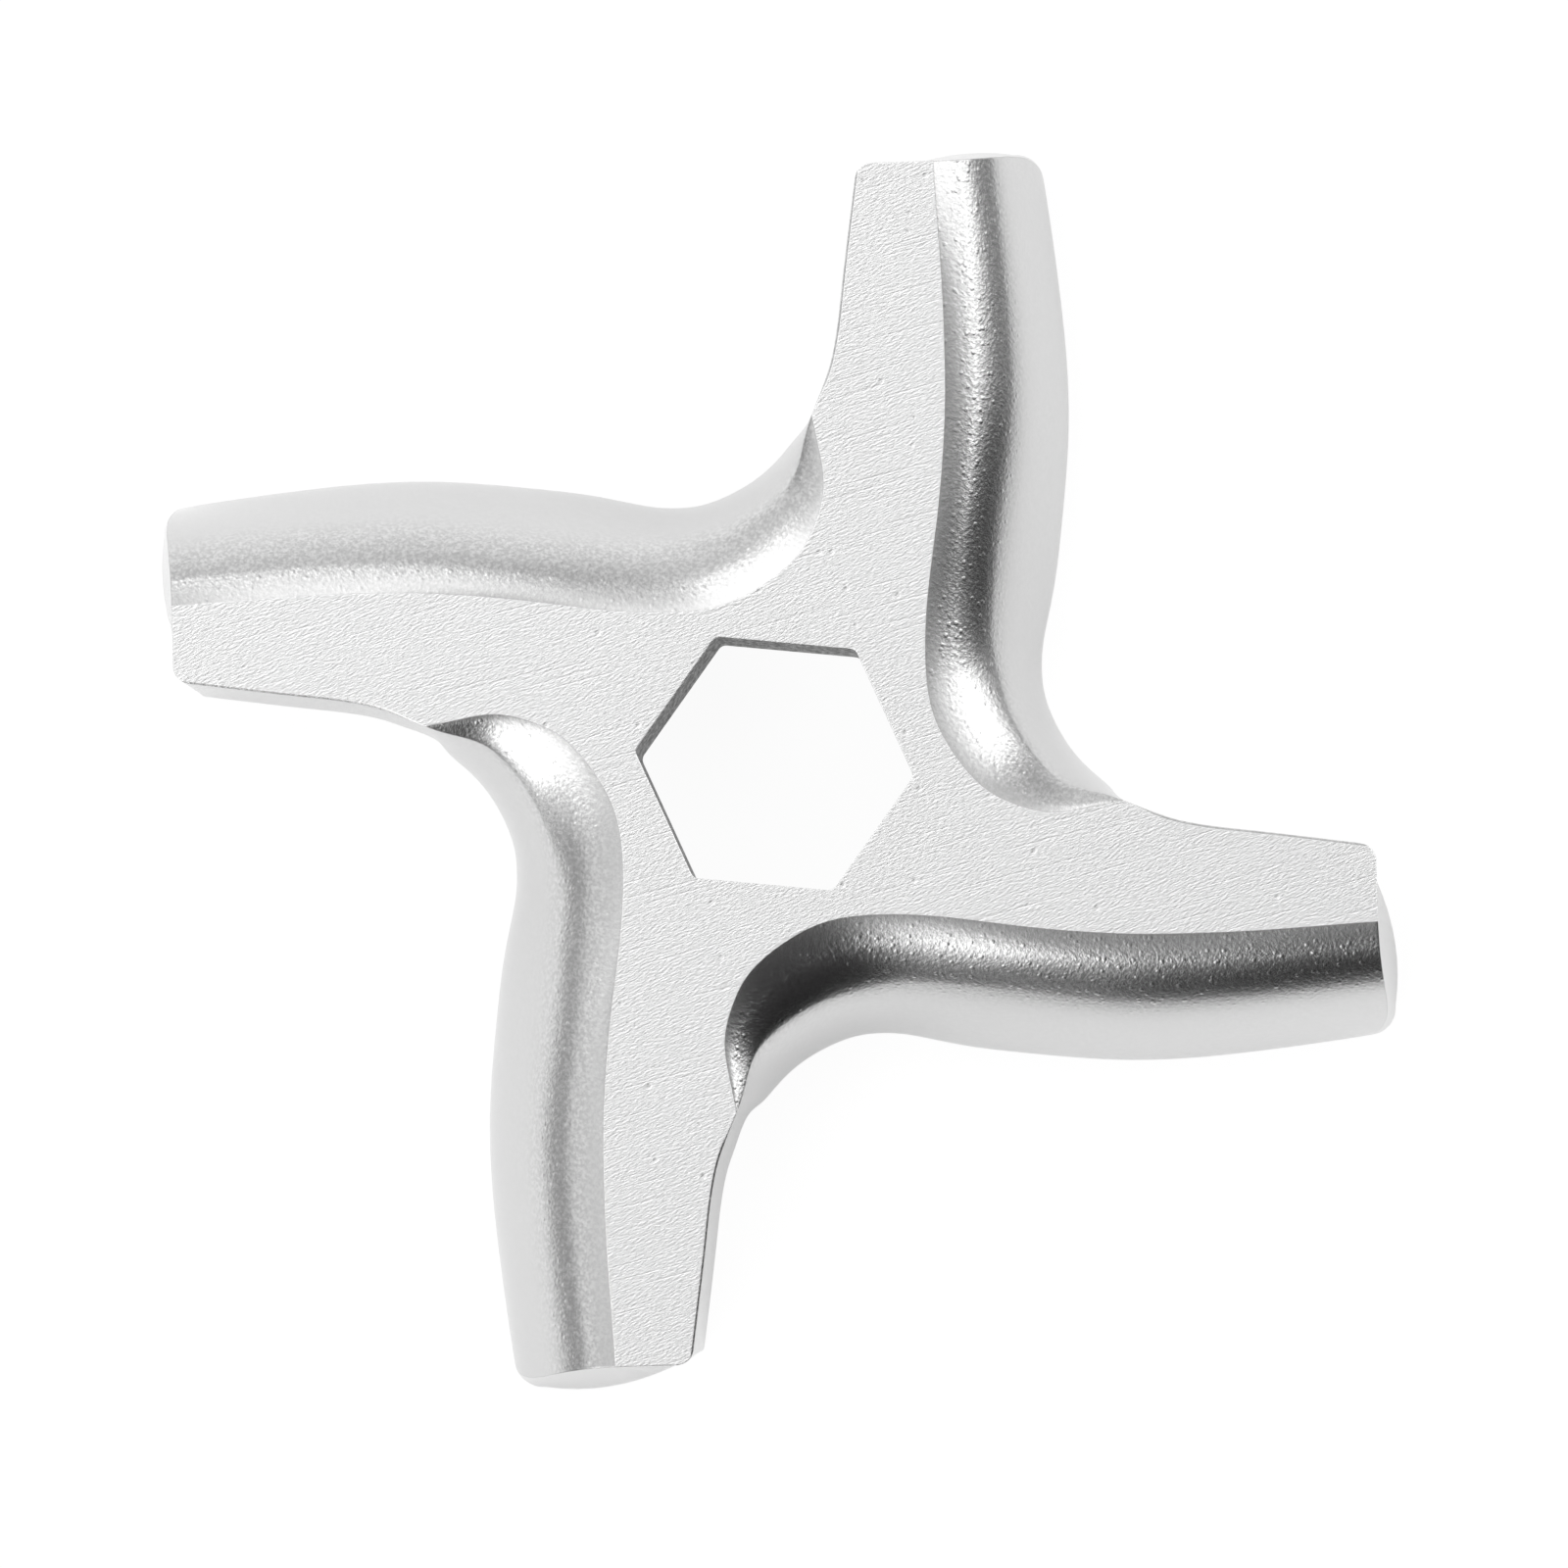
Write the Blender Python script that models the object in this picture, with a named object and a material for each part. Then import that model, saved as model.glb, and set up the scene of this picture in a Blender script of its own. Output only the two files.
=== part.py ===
"""Meat grinder knife with four swept arms, cast in one piece of stainless steel.

It lies on its back at z = 0 with the ground cutting face up, and its drive hole is centred on the Z axis.
Seen from above it turns clockwise. Each arm has a flat ground land, and along the leading side of the land
a flute is hollowed out below the cutting edge. Past the flute a rounded wing falls to the outside.
"""

import math

import bmesh
import bpy
import numpy as np
from mathutils import Matrix, Vector

MM = 0.001

ARMS = 4
SWEPT_DIAMETER = 45.5 * MM  # across the outermost corners of two opposite arms
THICKNESS = 7.0 * MM
HEX_KEY = 8.0 * MM  # across the flats of the drive shaft
HEX_CLEARANCE = 0.3 * MM
HEX_TURN = math.radians(-5.2)
HEX_CORNER_RADIUS = 0.3 * MM
HEX_LEAD_IN = 0.5 * MM  # chamfer on the back, where the shaft enters
FLUTE_WALL_PLACE = 0.15  # the foot of the wall, as a share of the way from the cutting edge to the crest
FLUTE_FLOOR_PLACE = 0.30  # where the wall has run out into the floor
FLUTE_FLOOR_SLOPE = math.radians(12)  # it falls towards the crest
CREST_SLOPE = math.radians(58)
TRAILING_SLOPE = math.radians(86)
FULL_FLUTE_WIDTH = 1.6 * MM  # from here on the crest has its full rounding
BACK_ROUNDING = 0.6 * MM
BACK_WALL = 1.0 * MM  # upright, from the rounding up to the foot of the wing
WING_CORNER_RADIUS = 0.94 * MM
WING_CORNER_OFFSET = 8.13 * MM  # of its centre, from the arm's own axis
TIP_SLANT = 0.46 * MM  # how far the widest outline runs past the land at the wing corner
TIP_CROWN = 0.5 * MM  # bulge of the widest outline at the tip
TIP_EDGE = 0.1 * MM  # chamfer along the back of the tips
HEEL_TOP_RADIUS = 0.8 * MM
HEEL_TOP_CENTRE = Vector((3.38, 19.85)) * MM
HEEL_FOOT_RADIUS = 0.15 * MM
HEEL_FOOT_CENTRE = Vector((2.73, 19.80)) * MM
WING_SIDE_HEADING = math.radians(10)  # which way the tip's outline faces where it meets the wing
HEEL_SIDE_HEADING = math.radians(173)
CLEAR_OF_WING = Vector((0.7, -1.7)) * MM
CLEAR_OF_HEEL = Vector((-0.4, -0.9)) * MM

# The ribs are drawn in this unit. Past the start of the straight arm they are stretched along it, so that
# the wing corner lands where the swept diameter puts it.
RIB_UNIT = 1.0 * MM
ARM_START = 13.0 * MM
DRAWN_WING_CORNER = 20.24 * MM

# Ribs across the leading side of an arm that points along +Y, from the sharp root end of its flute
# to past the tip. Each holds the cutting edge, the crest beyond the flute and the widest outline.
LEADING_RIBS = (
    ((11.96, -1.27), (11.96, -1.27), (11.89, -1.11)),
    ((10.79, -1.51), (11.16, -1.01), (11.39, -0.60)),
    ((9.45, -1.68), (10.18, -0.74), (10.72, 0.00)),
    ((8.07, -1.34), (9.18, 0.00), (9.88, 0.97)),
    ((6.87, -0.57), (8.27, 1.34), (9.18, 2.41)),
    ((5.73, 1.01), (7.81, 2.61), (9.01, 3.62)),
    ((5.21, 2.85), (7.54, 4.09), (9.11, 4.72)),
    ((5.22, 5.53), (7.57, 6.16), (9.45, 6.47)),
    ((5.57, 8.54), (7.81, 8.71), (9.72, 8.78)),
    ((5.80, 11.56), (8.11, 11.56), (9.92, 11.56)),
    ((5.81, 13.90), (8.11, 14.07), (9.85, 14.24)),
    ((5.69, 16.75), (7.87, 16.92), (9.55, 17.02)),
    ((5.44, 20.03), (7.50, 20.20), (9.08, 20.23)),
    ((5.29, 22.80), (7.14, 23.10), (8.54, 23.10)),
)
# Depths below the land of the flute's floor and of the crest, at the same ribs.
FLUTE_DEPTHS = (
    (0.00, 0.00),
    (0.06, 0.25),
    (0.14, 0.45),
    (0.24, 0.67),
    (0.36, 0.88),
    (0.43, 0.96),
    (0.41, 0.98),
    (0.29, 1.10),
    (0.20, 1.36),
    (0.20, 1.60),
    (0.24, 1.68),
    (0.34, 1.70),
    (0.44, 1.66),
    (0.52, 1.60),
)
# The trailing side, from past the tip to the root end of the next flute: the land's edge and the outline.
TRAILING_RIBS = (
    ((3.05, 22.80), (2.92, 22.80)),
    ((2.73, 20.03), (2.60, 20.03)),
    ((2.36, 16.92), (2.23, 16.92)),
    ((2.18, 15.24), (2.05, 15.24)),
    ((1.96, 13.90), (1.83, 13.90)),
    ((1.66, 12.95), (1.52, 12.93)),
)
LEADING_STEPS = 40
TRAILING_STEPS = 10
WALL_STEPS = 6
ROLL_STEPS = 7
WING_STEPS = 6
ROUNDING_STEPS = 3
CORNER_STEPS = 6
BEND_FULLNESS = 0.58  # how far each end of a bend heads for its corner
CUT_PAST = 1.0 * MM
MERGE_DISTANCE = 0.001 * MM
SHARP_ANGLE = math.radians(35)


def clear_scene():
    for thing in list(bpy.data.objects):
        bpy.data.objects.remove(thing, do_unlink=True)


def turned(point, angle):
    """The 2D point turned about the axis."""
    return Matrix.Rotation(angle, 2) @ Vector(point)


def smooth_curve(points):
    """A natural cubic spline through the points, as a function of a value from 0 to the number of spans."""
    points = np.array([tuple(point) for point in points])
    count = len(points)
    system = np.eye(count)
    bends = np.zeros_like(points)
    for i in range(1, count - 1):
        system[i, i - 1 : i + 2] = 1, 4, 1
        bends[i] = 6 * (points[i - 1] - 2 * points[i] + points[i + 1])
    bends = np.linalg.solve(system, bends)

    def at(value):
        span = min(int(value), count - 2)
        right = value - span
        left = 1 - right
        place = left * points[span] + right * points[span + 1]
        place += (left**3 - left) * bends[span] / 6 + (right**3 - right) * bends[span + 1] / 6
        return Vector(place)

    return at


def wing_corner_centre():
    reach = SWEPT_DIAMETER / 2 - WING_CORNER_RADIUS
    return Vector((WING_CORNER_OFFSET, math.sqrt(reach**2 - WING_CORNER_OFFSET**2)))


def stretched(point):
    """The drawn point, with what lies past the start of an arm moved along that arm to its real length."""
    stretch = (wing_corner_centre().y - ARM_START) / (DRAWN_WING_CORNER - ARM_START)
    return Vector([min(part, ARM_START) + stretch * max(part - ARM_START, 0) for part in point])


def side_stations():
    """(edge, crest, outline, depths) at each station from one arm's tip, down its trailing side and up the
    next arm's leading side to its tip. The trailing side has no flute, so its crest is its edge."""
    quarter = -math.tau / ARMS
    leading = [[stretched(Vector(point) * RIB_UNIT) for point in rib] for rib in LEADING_RIBS]
    trailing = [[stretched(Vector(point) * RIB_UNIT) for point in rib] for rib in TRAILING_RIBS]
    trailing = [[turned(point, quarter) for point in rib] for rib in trailing]
    outline = smooth_curve([rib[1] for rib in trailing] + [rib[2] for rib in leading])
    land_edge = smooth_curve([rib[0] for rib in trailing] + [leading[0][0]])
    cutting_edge = smooth_curve([rib[0] for rib in leading])
    crest = smooth_curve([rib[1] for rib in leading])
    depths = smooth_curve([Vector(pair) * RIB_UNIT for pair in FLUTE_DEPTHS])
    root = len(trailing)
    stations = []
    for i in range(TRAILING_STEPS):
        value = root * i / TRAILING_STEPS
        stations.append((land_edge(value), land_edge(value), outline(value), (0, 0)))
    for i in range(LEADING_STEPS + 1):
        value = (len(leading) - 1) * i / LEADING_STEPS
        stations.append((cutting_edge(value), crest(value), outline(root + value), depths(value)))
    return stations


def bend(start, corner, finish, steps):
    """Points from start up to finish, left out, on a cubic curve whose ends both head for the corner."""
    first = start.lerp(corner, BEND_FULLNESS)
    second = finish.lerp(corner, BEND_FULLNESS)
    points = []
    for i in range(steps):
        right = i / steps
        left = 1 - right
        place = left**3 * start + 3 * left**2 * right * first
        points.append(place + 3 * left * right**2 * second + right**3 * finish)
    return points


def section(edge, crest, outline, depths, inward):
    """The side of the knife at one station, from the land's edge down to the back, as 3D points."""
    width = (crest - edge).length
    slope = TRAILING_SLOPE + (CREST_SLOPE - TRAILING_SLOPE) * min(width / FULL_FLUTE_WIDTH, 1)
    floor_fall = math.tan(FLUTE_FLOOR_SLOPE)
    flank_fall = math.tan(slope)
    floor_depth, crest_depth = depths
    wall_depth = floor_depth - (FLUTE_FLOOR_PLACE - FLUTE_WALL_PLACE) * width * floor_fall
    to_crest = (1 - FLUTE_FLOOR_PLACE) * width
    roll = (to_crest * flank_fall - crest_depth + floor_depth) / (flank_fall - floor_fall)
    roll_place = FLUTE_FLOOR_PLACE + roll / max(width, MERGE_DISTANCE)
    widest = BACK_ROUNDING + BACK_WALL
    shoulder = THICKNESS - crest_depth - (outline - crest).length * flank_fall

    def on_flute(place, depth):
        return edge.lerp(crest, place).to_3d() + Vector((0, 0, THICKNESS - depth))

    land_edge = on_flute(0, 0)
    wall_foot = on_flute(FLUTE_WALL_PLACE, wall_depth)
    flute_floor = on_flute(FLUTE_FLOOR_PLACE, floor_depth)
    roll_start = on_flute(roll_place, floor_depth + roll * floor_fall)
    flute_crest = on_flute(1, crest_depth)
    wing_shoulder = outline.to_3d() + Vector((0, 0, max(shoulder, widest)))
    wing_foot = outline.to_3d() + Vector((0, 0, widest))
    points = bend(land_edge, wall_foot, flute_floor, WALL_STEPS)
    points += bend(flute_floor, roll_start, flute_crest, ROLL_STEPS)
    points += bend(flute_crest, wing_shoulder, wing_foot, WING_STEPS)
    points.append(wing_foot)
    for i in range(ROUNDING_STEPS + 1):
        angle = math.pi / 2 * i / ROUNDING_STEPS
        place = outline + inward * BACK_ROUNDING * (1 - math.cos(angle))
        points.append(place.to_3d() + Vector((0, 0, BACK_ROUNDING * (1 - math.sin(angle)))))
    return points


def inward_of(before, after):
    """The inward normal of the outline, which runs counter-clockwise round the knife."""
    along = (after - before).normalized()
    return Vector((-along.y, along.x))


def side_rings():
    """One closed ring of sections round all the arms, which are left long past their tips."""
    stations = side_stations()
    last = len(stations) - 1
    sections = []
    for i, (edge, crest, outline, depths) in enumerate(stations):
        before = stations[max(i - 1, 0)][2]
        after = stations[min(i + 1, last)][2]
        sections.append(section(edge, crest, outline, depths, inward_of(before, after)))
    rings = []
    for arm in range(ARMS):
        turn = Matrix.Rotation(math.tau * arm / ARMS, 3, "Z")
        rings += [[turn @ point for point in points] for points in sections]
    return rings


def new_object(name, bm):
    bmesh.ops.recalc_face_normals(bm, faces=bm.faces)
    mesh = bpy.data.meshes.new(name)
    bm.to_mesh(mesh)
    bm.free()
    made = bpy.data.objects.new(name, mesh)
    bpy.context.scene.collection.objects.link(made)
    return made


def skin_rings(bm, rings, closed):
    """Quads between neighbouring rings of points, which are returned as vertices."""
    verts = [[bm.verts.new(point) for point in ring] for ring in rings]
    count = len(verts)
    for i in range(count if closed else count - 1):
        here, there = verts[i], verts[(i + 1) % count]
        pairs = len(here) - 1 if closed else len(here)
        for j in range(pairs):
            k = (j + 1) % len(here)
            bm.faces.new((here[j], there[j], there[k], here[k]))
    return verts


def long_armed_blank():
    """The whole knife with its flutes and wings, before the tips are trimmed and the hole is broached."""
    bm = bmesh.new()
    verts = skin_rings(bm, side_rings(), closed=True)
    bm.faces.new([column[0] for column in verts])
    bm.faces.new([column[-1] for column in reversed(verts)])
    bmesh.ops.remove_doubles(bm, verts=bm.verts, dist=MERGE_DISTANCE)
    return new_object("knife", bm)


def arc(centre, radius, start, end, steps):
    return [
        centre + radius * Vector((math.cos(angle), math.sin(angle)))
        for angle in np.linspace(start, end, steps + 1)
    ]


def tip_outline(rise, inset):
    """Plan of the tips. It goes from the widest outline, at a rise of 0, to the land, at a rise of 1, where
    the tips are cut square. Between the arms it runs clear of their sides."""
    wing_centre = wing_corner_centre() - Vector((0, TIP_SLANT * rise))
    heel_centre = stretched(HEEL_FOOT_CENTRE).lerp(stretched(HEEL_TOP_CENTRE), rise)
    heel_radius = HEEL_FOOT_RADIUS + (HEEL_TOP_RADIUS - HEEL_FOOT_RADIUS) * rise
    slope = wing_centre - heel_centre
    square_to_tip = math.atan2(slope.y, slope.x) + math.pi / 2
    outward = Vector((math.cos(square_to_tip), math.sin(square_to_tip)))
    wing_radius = WING_CORNER_RADIUS - inset
    wing_corner = arc(wing_centre, wing_radius, WING_SIDE_HEADING, square_to_tip, CORNER_STEPS)
    heel_corner = arc(heel_centre, heel_radius - inset, square_to_tip, HEEL_SIDE_HEADING, CORNER_STEPS)
    edge = []
    for i in range(1, CORNER_STEPS):
        share = i / CORNER_STEPS
        crown = 4 * TIP_CROWN * (1 - rise) * share * (1 - share)
        edge.append(wing_corner[-1].lerp(heel_corner[0], share) + crown * outward)
    start = wing_corner[0] + CLEAR_OF_WING
    finish = heel_corner[-1] + CLEAR_OF_HEEL
    one_tip = [start, *wing_corner, *edge, *heel_corner, finish]
    return [turned(point, math.tau * arm / ARMS) for arm in range(ARMS) for point in one_tip]


def tip_trimmer():
    """The outline of the mould at the tips. The knife is what lies inside it."""
    levels = [
        (THICKNESS + CUT_PAST, 1, 0),
        (THICKNESS, 1, 0),
        (BACK_ROUNDING + BACK_WALL, 0, 0),
        (TIP_EDGE, 0, 0),
        (0, 0, TIP_EDGE),
        (-CUT_PAST, 0, TIP_EDGE),
    ]
    rings = [[(*point, height) for point in tip_outline(rise, inset)] for height, rise, inset in levels]
    bm = bmesh.new()
    verts = skin_rings(bm, rings, closed=False)
    bm.faces.new(verts[0])
    bm.faces.new(list(reversed(verts[-1])))
    return as_cutter(new_object("tip_trimmer", bm))


def hexagon(across_flats, height):
    """A hexagon with rounded corners, as 3D points."""
    centre_reach = (across_flats / 2 - HEX_CORNER_RADIUS) / math.cos(math.pi / 6)
    points = []
    for corner in range(6):
        heading = HEX_TURN + math.tau * corner / 6
        centre = centre_reach * Vector((math.cos(heading), math.sin(heading)))
        spread = math.pi / 6
        points += arc(centre, HEX_CORNER_RADIUS, heading - spread, heading + spread, 2)
    return [(*point, height) for point in points]


def hex_broach():
    """The drive hole, with a lead-in on the back."""
    across = HEX_KEY + HEX_CLEARANCE
    bm = bmesh.new()
    rings = [
        hexagon(across + 2 * (HEX_LEAD_IN + CUT_PAST), -CUT_PAST),
        hexagon(across, HEX_LEAD_IN),
        hexagon(across, THICKNESS + CUT_PAST),
    ]
    verts = skin_rings(bm, rings, closed=False)
    bm.faces.new(list(reversed(verts[0])))
    bm.faces.new(verts[-1])
    return as_cutter(new_object("hex_broach", bm))


def as_cutter(cutter):
    cutter.hide_render = True
    cutter.display_type = "WIRE"
    return cutter


def add_boolean(target, cutter, operation):
    boolean = target.modifiers.new(cutter.name, "BOOLEAN")
    boolean.operation = operation
    boolean.object = cutter
    boolean.solver = "EXACT"


def stainless_casting():
    material = bpy.data.materials.new("stainless_casting")
    material.use_nodes = True
    shader = material.node_tree.nodes["Principled BSDF"]
    shader.inputs["Base Color"].default_value = (0.72, 0.72, 0.72, 1)
    shader.inputs["Metallic"].default_value = 1.0
    shader.inputs["Roughness"].default_value = 0.38
    return material


def sharpen_land(mesh):
    """The outline of the land is sharp all the way round, however gently the flute falls away from it."""
    land = max(mesh.polygons, key=lambda face: face.center.z)
    outline = set(land.edge_keys)
    for edge in mesh.edges:
        if edge.key in outline:
            edge.use_edge_sharp = True


def make_knife():
    knife = long_armed_blank()
    add_boolean(knife, tip_trimmer(), "INTERSECT")
    add_boolean(knife, hex_broach(), "DIFFERENCE")
    knife.data.materials.append(stainless_casting())
    knife.data.shade_smooth()
    knife.data.set_sharp_from_angle(angle=SHARP_ANGLE)
    sharpen_land(knife.data)
    # Turned so that the outermost corners lie on the X and Y axes, and the box is the swept diameter.
    corner = wing_corner_centre()
    for thing in [knife, *(modifier.object for modifier in knife.modifiers)]:
        thing.data.transform(Matrix.Rotation(math.atan2(corner.x, corner.y), 4, "Z"))


clear_scene()
make_knife()
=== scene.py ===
import math

import bmesh
import bpy
import numpy as np
from mathutils import Matrix, Vector


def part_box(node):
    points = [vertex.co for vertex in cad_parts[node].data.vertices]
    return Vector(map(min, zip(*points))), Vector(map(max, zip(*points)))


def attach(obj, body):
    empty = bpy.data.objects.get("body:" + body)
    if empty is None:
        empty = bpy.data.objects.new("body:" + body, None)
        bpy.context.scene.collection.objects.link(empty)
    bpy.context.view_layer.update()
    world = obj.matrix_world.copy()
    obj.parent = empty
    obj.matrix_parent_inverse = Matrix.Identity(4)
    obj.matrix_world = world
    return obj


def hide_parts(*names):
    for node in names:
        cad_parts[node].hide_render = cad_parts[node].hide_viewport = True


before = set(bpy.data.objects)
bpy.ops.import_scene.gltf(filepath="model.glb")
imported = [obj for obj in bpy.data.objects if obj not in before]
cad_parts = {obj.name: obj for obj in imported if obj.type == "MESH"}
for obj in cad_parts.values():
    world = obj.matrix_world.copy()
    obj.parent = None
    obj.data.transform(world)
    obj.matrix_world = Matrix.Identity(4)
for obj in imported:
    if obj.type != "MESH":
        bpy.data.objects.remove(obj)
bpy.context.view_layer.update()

MM = 0.001

# The camera looks down on the ground face through a long lens. It leans a little towards the picture's
# lower right corner, so that the upper left walls of the drive hole show. One arm points up the picture.
ARM_TURN = math.radians(21.886)  # from the Y axis to the arm that points up
PICTURE_RIGHT = Vector((math.cos(ARM_TURN), math.sin(ARM_TURN), 0))
PICTURE_UP = Vector((-math.sin(ARM_TURN), math.cos(ARM_TURN), 0))
PICTURE_PIXELS = 1600
PIXELS_TO_MM = 29.85
HOLE_CENTRE_PIXEL = (790, 779)
LAND_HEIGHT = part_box("knife")[1].z
CAMERA_DISTANCE = 1.0
CAMERA_LEAN = math.radians(2.95)
LEAN_HEADING = math.radians(-54)  # from the picture's right

frame_width = PICTURE_PIXELS / PIXELS_TO_MM * MM
off_centre = [(PICTURE_PIXELS / 2 - pixel) / PIXELS_TO_MM * MM for pixel in HOLE_CENTRE_PIXEL]
aim = Vector((0, 0, LAND_HEIGHT)) + off_centre[0] * PICTURE_RIGHT - off_centre[1] * PICTURE_UP
lean = math.cos(LEAN_HEADING) * PICTURE_RIGHT + math.sin(LEAN_HEADING) * PICTURE_UP
to_camera = math.cos(CAMERA_LEAN) * Vector((0, 0, 1)) + math.sin(CAMERA_LEAN) * lean
camera_data = bpy.data.cameras.new("camera")
camera_data.sensor_width = 36
camera_data.lens = camera_data.sensor_width * CAMERA_DISTANCE / frame_width
camera_data.clip_start = 0.01
camera_data.clip_end = 10
camera = bpy.data.objects.new("camera", camera_data)
bpy.context.scene.collection.objects.link(camera)
bpy.context.scene.camera = camera
side = (PICTURE_RIGHT - PICTURE_RIGHT.dot(to_camera) * to_camera).normalized()
turn = Matrix((side, to_camera.cross(side), to_camera)).transposed()
camera.matrix_world = Matrix.Translation(aim + CAMERA_DISTANCE * to_camera) @ turn.to_4x4()


# The knife is one investment casting in stainless steel, blasted, with its lands ground flat and its drive
# hole broached. Operators can't follow its swept flutes, so its skin is lofted in mesh code, in millimetres,
# through ribs across an arm that points along Y. The four arms are alike.
THICKNESS = LAND_HEIGHT / MM
FLUTE_WALL_PLACE = 0.22  # the foot of the wall, as a share of the way from the cutting edge to the crest
FLUTE_FLOOR_PLACE = 0.43  # where the wall has run out into the floor
FLUTE_FLOOR_SLOPE = math.radians(20)  # it falls towards the crest
CREST_SLOPE = math.radians(52.4)
TRAILING_SLOPE = math.radians(86)
FULL_FLUTE_WIDTH = 1.6  # from here on the crest has its full rounding
BEND_FULLNESS = 0.56
WING_FOOT = 1.6
BACK_ROUNDING = 0.6
BROKEN_EDGE = 0.07  # width and depth, along the trailing edge of the land
BROKEN_EDGE_HOLLOW = 0.4  # depth of its middle, as a share of that
# Each rib holds the cutting edge, the crest beyond the flute and the widest outline, from the sharp root end
# of the flute to past the tip.
LEADING_RIBS = (
    ((11.96, -1.27), (11.96, -1.27), (11.89, -1.11)),
    ((10.79, -1.51), (11.16, -1.01), (11.39, -0.60)),
    ((9.45, -1.68), (10.18, -0.74), (10.72, 0.00)),
    ((8.07, -1.34), (9.18, 0.00), (9.88, 0.97)),
    ((6.87, -0.57), (8.27, 1.34), (9.18, 2.41)),
    ((5.73, 1.01), (7.81, 2.61), (9.01, 3.62)),
    ((5.21, 2.85), (7.54, 4.09), (9.11, 4.72)),
    ((5.22, 5.53), (7.57, 6.16), (9.45, 6.47)),
    ((5.57, 8.54), (7.81, 8.71), (9.72, 8.78)),
    ((5.80, 11.56), (8.11, 11.56), (9.92, 11.56)),
    ((5.81, 13.90), (8.11, 14.07), (9.85, 14.24)),
    ((5.69, 16.75), (7.87, 16.92), (9.55, 17.02)),
    ((5.44, 20.03), (7.50, 20.20), (9.08, 20.23)),
    ((5.29, 22.80), (7.14, 23.10), (8.54, 23.10)),
)
# Depths below the land of the flute's floor and of the crest, at the same ribs.
FLUTE_DEPTHS = (
    (0.00, 0.00),
    (0.05, 0.22),
    (0.12, 0.46),
    (0.21, 0.86),
    (0.29, 1.16),
    (0.31, 1.40),
    (0.32, 1.45),
    (0.26, 1.32),
    (0.20, 1.27),
    (0.23, 1.32),
    (0.26, 1.34),
    (0.28, 1.32),
    (0.33, 1.35),
    (0.38, 1.35),
)
# The land's edge and the widest outline of the next arm's trailing side, from past the tip to the root.
TRAILING_RIBS = (
    ((3.05, 22.80), (2.92, 22.80)),
    ((2.73, 20.03), (2.60, 20.03)),
    ((2.36, 16.92), (2.23, 16.92)),
    ((2.18, 15.24), (2.05, 15.24)),
    ((1.96, 13.90), (1.83, 13.90)),
    ((1.66, 12.95), (1.52, 12.93)),
)
LEADING_STEPS = 130
TRAILING_STEPS = 30
WALL_STEPS = 18
ROLL_STEPS = 16
WING_STEPS = 20
ROUNDING_STEPS = 6


def turned(point, angle):
    return Matrix.Rotation(angle, 2) @ Vector(point)


def smooth_curve(points):
    """A natural cubic spline through the points, as a function of a value from 0 to the number of spans."""
    points = np.array([tuple(point) for point in points])
    count = len(points)
    system = np.eye(count)
    bends = np.zeros_like(points)
    for i in range(1, count - 1):
        system[i, i - 1 : i + 2] = 1, 4, 1
        bends[i] = 6 * (points[i - 1] - 2 * points[i] + points[i + 1])
    bends = np.linalg.solve(system, bends)

    def at(value):
        span = min(int(value), count - 2)
        right = value - span
        left = 1 - right
        place = left * points[span] + right * points[span + 1]
        place += (left**3 - left) * bends[span] / 6 + (right**3 - right) * bends[span + 1] / 6
        return Vector(place)

    return at


def side_stations():
    """Edge, crest, outline and depths, down one arm's trailing side and along the next one's leading side."""
    trailing = [[turned(point, -math.pi / 2) for point in rib] for rib in TRAILING_RIBS]
    outline = smooth_curve([rib[1] for rib in trailing] + [rib[2] for rib in LEADING_RIBS])
    land_edge = smooth_curve([rib[0] for rib in trailing] + [LEADING_RIBS[0][0]])
    cutting_edge = smooth_curve([rib[0] for rib in LEADING_RIBS])
    crest = smooth_curve([rib[1] for rib in LEADING_RIBS])
    depths = smooth_curve(FLUTE_DEPTHS)
    root = len(trailing)
    stations = []
    for i in range(TRAILING_STEPS):
        value = root * i / TRAILING_STEPS
        broken = BROKEN_EDGE * min(root - value, 1)
        edge = land_edge(value) + broken * (land_edge(value) - outline(value)).normalized()
        stations.append((edge, land_edge(value), outline(value), (BROKEN_EDGE_HOLLOW * broken, broken)))
    for i in range(LEADING_STEPS + 1):
        value = (len(LEADING_RIBS) - 1) * i / LEADING_STEPS
        stations.append((cutting_edge(value), crest(value), outline(root + value), depths(value)))
    return stations


def bend(start, corner, finish, steps):
    """Points from start up to finish, left out, on a curve whose ends both head for the corner."""
    handles = start.lerp(corner, BEND_FULLNESS), finish.lerp(corner, BEND_FULLNESS)
    points = []
    for i in range(steps):
        right = i / steps
        left = 1 - right
        place = left**3 * start + 3 * left**2 * right * handles[0]
        points.append(place + 3 * left * right**2 * handles[1] + right**3 * finish)
    return points


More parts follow.
